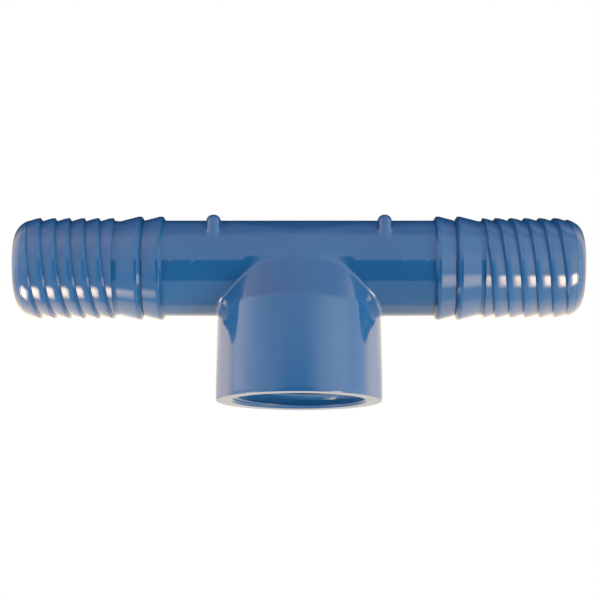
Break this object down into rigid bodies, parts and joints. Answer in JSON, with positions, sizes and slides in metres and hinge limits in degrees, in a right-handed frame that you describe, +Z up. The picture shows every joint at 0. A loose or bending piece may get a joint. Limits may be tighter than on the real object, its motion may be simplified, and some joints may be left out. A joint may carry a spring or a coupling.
{
  "type": "barbed insert tee",
  "caption": "Barbed insert tee for flexible polyethylene irrigation pipe, with ringed and spiral barbs on both spigots and a female pipe-thread branch.",
  "frame": {"origin": "where the axis of the run and the axis of the branch cross", "axes": "+X along the run, -Y along the branch towards its rim, +Z up with the tee lying on its back"},
  "size_m": [0.0922, 0.0302, 0.027],
  "materials": {
    "moulded_plastic": "glossy injection-moulded blue plastic"
  },
  "bodies": {
    "root": {"run_tube": "moulded_plastic", "branch_shoulder": "moulded_plastic", "branch_socket": "moulded_plastic", "socket_thread": "moulded_plastic", "left_spigot": "moulded_plastic", "left_inner_ring_barb": "moulded_plastic", "left_outer_ring_barb": "moulded_plastic", "left_spiral_barb_a": "moulded_plastic", "left_spiral_barb_b": "moulded_plastic", "left_nubs": "moulded_plastic", "right_spigot": "moulded_plastic", "right_inner_ring_barb": "moulded_plastic", "right_outer_ring_barb": "moulded_plastic", "right_spiral_barb_a": "moulded_plastic", "right_spiral_barb_b": "moulded_plastic", "right_nubs": "moulded_plastic"}
  },
  "joints": []
}
